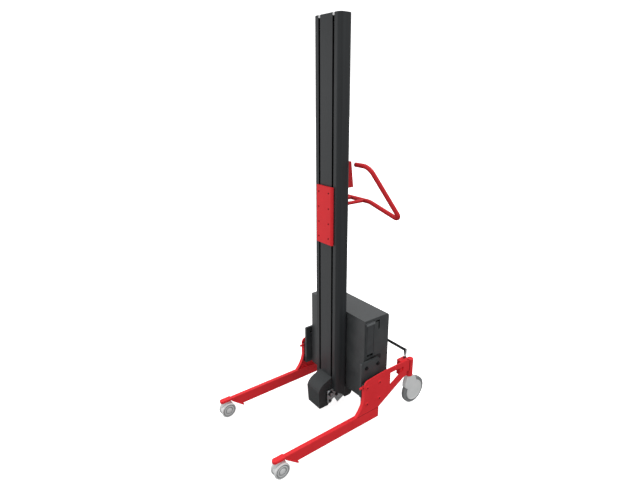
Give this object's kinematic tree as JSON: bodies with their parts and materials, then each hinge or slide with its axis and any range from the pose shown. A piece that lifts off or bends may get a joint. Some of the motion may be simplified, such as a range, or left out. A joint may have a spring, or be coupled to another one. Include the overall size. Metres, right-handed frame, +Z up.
{
  "type": "mini stacker",
  "caption": "Walk-behind battery lift: slotted mast on a housing with low straddle legs and castors, strap drum at the foot, tool plate carriage, bent handle and foot brake bar.",
  "frame": {"origin": "on the floor, midway between the tips of the toe bars and the back of the rear wheels, on the middle plane", "axes": "+Z up along the mast, legs and tool plate towards -Y, handle and rear castors towards +Y, +X to the right seen from the front, where the battery is"},
  "size_m": [0.463, 0.8066, 1.595],
  "materials": {
    "mast_coat": "dark anodised, satin",
    "red_paint": "red powder coat, satin",
    "dark_paint": "dark grey powder coat, fine texture",
    "dark_plastic": "matt",
    "zinc": "zinc plated",
    "drum_metal": "machined",
    "strap_web": "woven",
    "castor_grey": "moulded, satin",
    "tread_grey": "smooth",
    "board_green": "lacquered",
    "button_black": "gloss",
    "button_red": "gloss"
  },
  "bodies": {
    "frame": {"arm_bolts": "zinc", "axle_nuts": "zinc", "battery_dock": "dark_plastic", "bracket_bolts": "zinc", "castor_head_left": "red_paint", "castor_head_right": "red_paint", "chassis_beam": "dark_paint", "control_board": "board_green", "control_box": "red_paint", "drive_core": "drum_metal", "drum_axle": "zinc", "drum_cover": "dark_plastic", "handle": "red_paint", "handle_caps": "dark_plastic", "housing_front": "dark_paint", "housing_shell": "dark_paint", "leg_bolts": "zinc", "leg_plate_left": "red_paint", "leg_plate_right": "red_paint", "leg_tube_left": "red_paint", "leg_tube_right": "red_paint", "mast_bolts": "zinc", "mast_cap": "mast_coat", "mast_foot": "dark_plastic", "mast_profile": "mast_coat", "side_bracket_left": "dark_paint", "side_bracket_right": "dark_paint", "strap_drop": "strap_web", "strap_run": "strap_web", "toe_bar_left": "red_paint", "toe_bar_right": "red_paint", "top_axle": "zinc", "torque_arms": "zinc", "winch_plate_left": "zinc", "winch_plate_right": "zinc"},
    "carriage": {"carriage_plate": "red_paint", "carriage_webs": "zinc", "carriage_glides": "dark_plastic", "carriage_axles": "zinc"},
    "upper_rollers": {"upper_rollers": "castor_grey"},
    "lower_rollers": {"lower_rollers": "castor_grey"},
    "drum": {"strap_drum": "drum_metal", "drum_bearings": "zinc", "strap_winding": "strap_web"},
    "top_rollers": {"top_rollers": "drum_metal"},
    "battery": {"battery_cassette": "dark_plastic"},
    "brake": {"brake_bar": "dark_paint"},
    "up_button": {"up_button": "button_black"},
    "down_button": {"down_button": "button_black"},
    "stop_button": {"stop_button": "button_red"},
    "front_swivel_right": {"front_hood_right": "castor_grey"},
    "front_wheels_right": {"front_wheels_right": "castor_grey"},
    "rear_swivel_right": {"rear_hood_right": "castor_grey"},
    "rear_wheel_right": {"rear_wheel_right": "castor_grey", "rear_tread_right": "tread_grey"},
    "front_swivel_left": {"front_hood_left": "castor_grey"},
    "front_wheels_left": {"front_wheels_left": "castor_grey"},
    "rear_swivel_left": {"rear_hood_left": "castor_grey"},
    "rear_wheel_left": {"rear_wheel_left": "castor_grey", "rear_tread_left": "tread_grey"}
  },
  "joints": [
    {"name": "carriage_lift", "type": "slide", "parent": "frame", "child": "carriage", "axis": [0, 0, 1], "range_m": [-0.58, 0.57], "deforming": ["strap_drop"]},
    {"name": "drum_spin", "type": "hinge", "parent": "frame", "child": "drum", "pos_m": [0, -0.01325, 0.105], "axis": [1, 0, 0], "range_deg": [-802, 816]},
    {"name": "top_roller_spin", "type": "hinge", "parent": "frame", "child": "top_rollers", "pos_m": [0, 0.03225, 1.553], "axis": [1, 0, 0], "range_deg": [-1979, 2013]},
    {"name": "upper_roller_spin", "type": "hinge", "parent": "carriage", "child": "upper_rollers", "pos_m": [0, 0.03225, 0.909], "axis": [1, 0, 0], "range_deg": [-1384, 1361]},
    {"name": "lower_roller_spin", "type": "hinge", "parent": "carriage", "child": "lower_rollers", "pos_m": [0, 0.03225, 0.813], "axis": [1, 0, 0], "range_deg": [-1361, 1384]},
    {"name": "brake_press", "type": "slide", "parent": "frame", "child": "brake", "axis": [0, 0, 1], "range_m": [-0.016, 0]},
    {"name": "battery_pull", "type": "slide", "parent": "frame", "child": "battery", "axis": [1, 0, 0], "range_m": [0, 0.13]},
    {"name": "up_button_press", "type": "slide", "parent": "frame", "child": "up_button", "axis": [0, -0.993, -0.118], "range_m": [0, 0.003], "stiffness_N_per_m": 800},
    {"name": "down_button_press", "type": "slide", "parent": "frame", "child": "down_button", "axis": [0, -0.993, -0.118], "range_m": [0, 0.003], "stiffness_N_per_m": 800},
    {"name": "stop_button_press", "type": "slide", "parent": "frame", "child": "stop_button", "axis": [0, -0.993, -0.118], "range_m": [0, 0.004], "stiffness_N_per_m": 800},
    {"name": "front_swivel_right", "type": "hinge", "parent": "frame", "child": "front_swivel_right", "pos_m": [0.213, -0.38825, 0.073], "axis": [0, 0, 1], "continuous": true},
    {"name": "front_wheel_spin_right", "type": "hinge", "parent": "front_swivel_right", "child": "front_wheels_right", "pos_m": [0.213, -0.37125, 0.032], "axis": [1, 0, 0], "continuous": true},
    {"name": "rear_swivel_right", "type": "hinge", "parent": "frame", "child": "rear_swivel_right", "pos_m": [0.205, 0.31325, 0.146], "axis": [0, 0, 1], "continuous": true},
    {"name": "rear_wheel_spin_right", "type": "hinge", "parent": "rear_swivel_right", "child": "rear_wheel_right", "pos_m": [0.205, 0.34075, 0.0625], "axis": [1, 0, 0], "continuous": true},
    {"name": "front_swivel_left", "type": "hinge", "parent": "frame", "child": "front_swivel_left", "pos_m": [-0.213, -0.38825, 0.073], "axis": [0, 0, 1], "continuous": true},
    {"name": "front_wheel_spin_left", "type": "hinge", "parent": "front_swivel_left", "child": "front_wheels_left", "pos_m": [-0.213, -0.37125, 0.032], "axis": [1, 0, 0], "continuous": true},
    {"name": "rear_swivel_left", "type": "hinge", "parent": "frame", "child": "rear_swivel_left", "pos_m": [-0.205, 0.31325, 0.146], "axis": [0, 0, 1], "continuous": true},
    {"name": "rear_wheel_spin_left", "type": "hinge", "parent": "rear_swivel_left", "child": "rear_wheel_left", "pos_m": [-0.205, 0.34075, 0.0625], "axis": [1, 0, 0], "continuous": true}
  ],
  "couplings": [
    {"joint": "drum_spin", "follows": "carriage_lift", "rad_per_m": -24.39},
    {"joint": "top_roller_spin", "follows": "carriage_lift", "rad_per_m": -60.423},
    {"joint": "upper_roller_spin", "follows": "carriage_lift", "rad_per_m": 41.494},
    {"joint": "lower_roller_spin", "follows": "carriage_lift", "rad_per_m": -41.494}
  ]
}
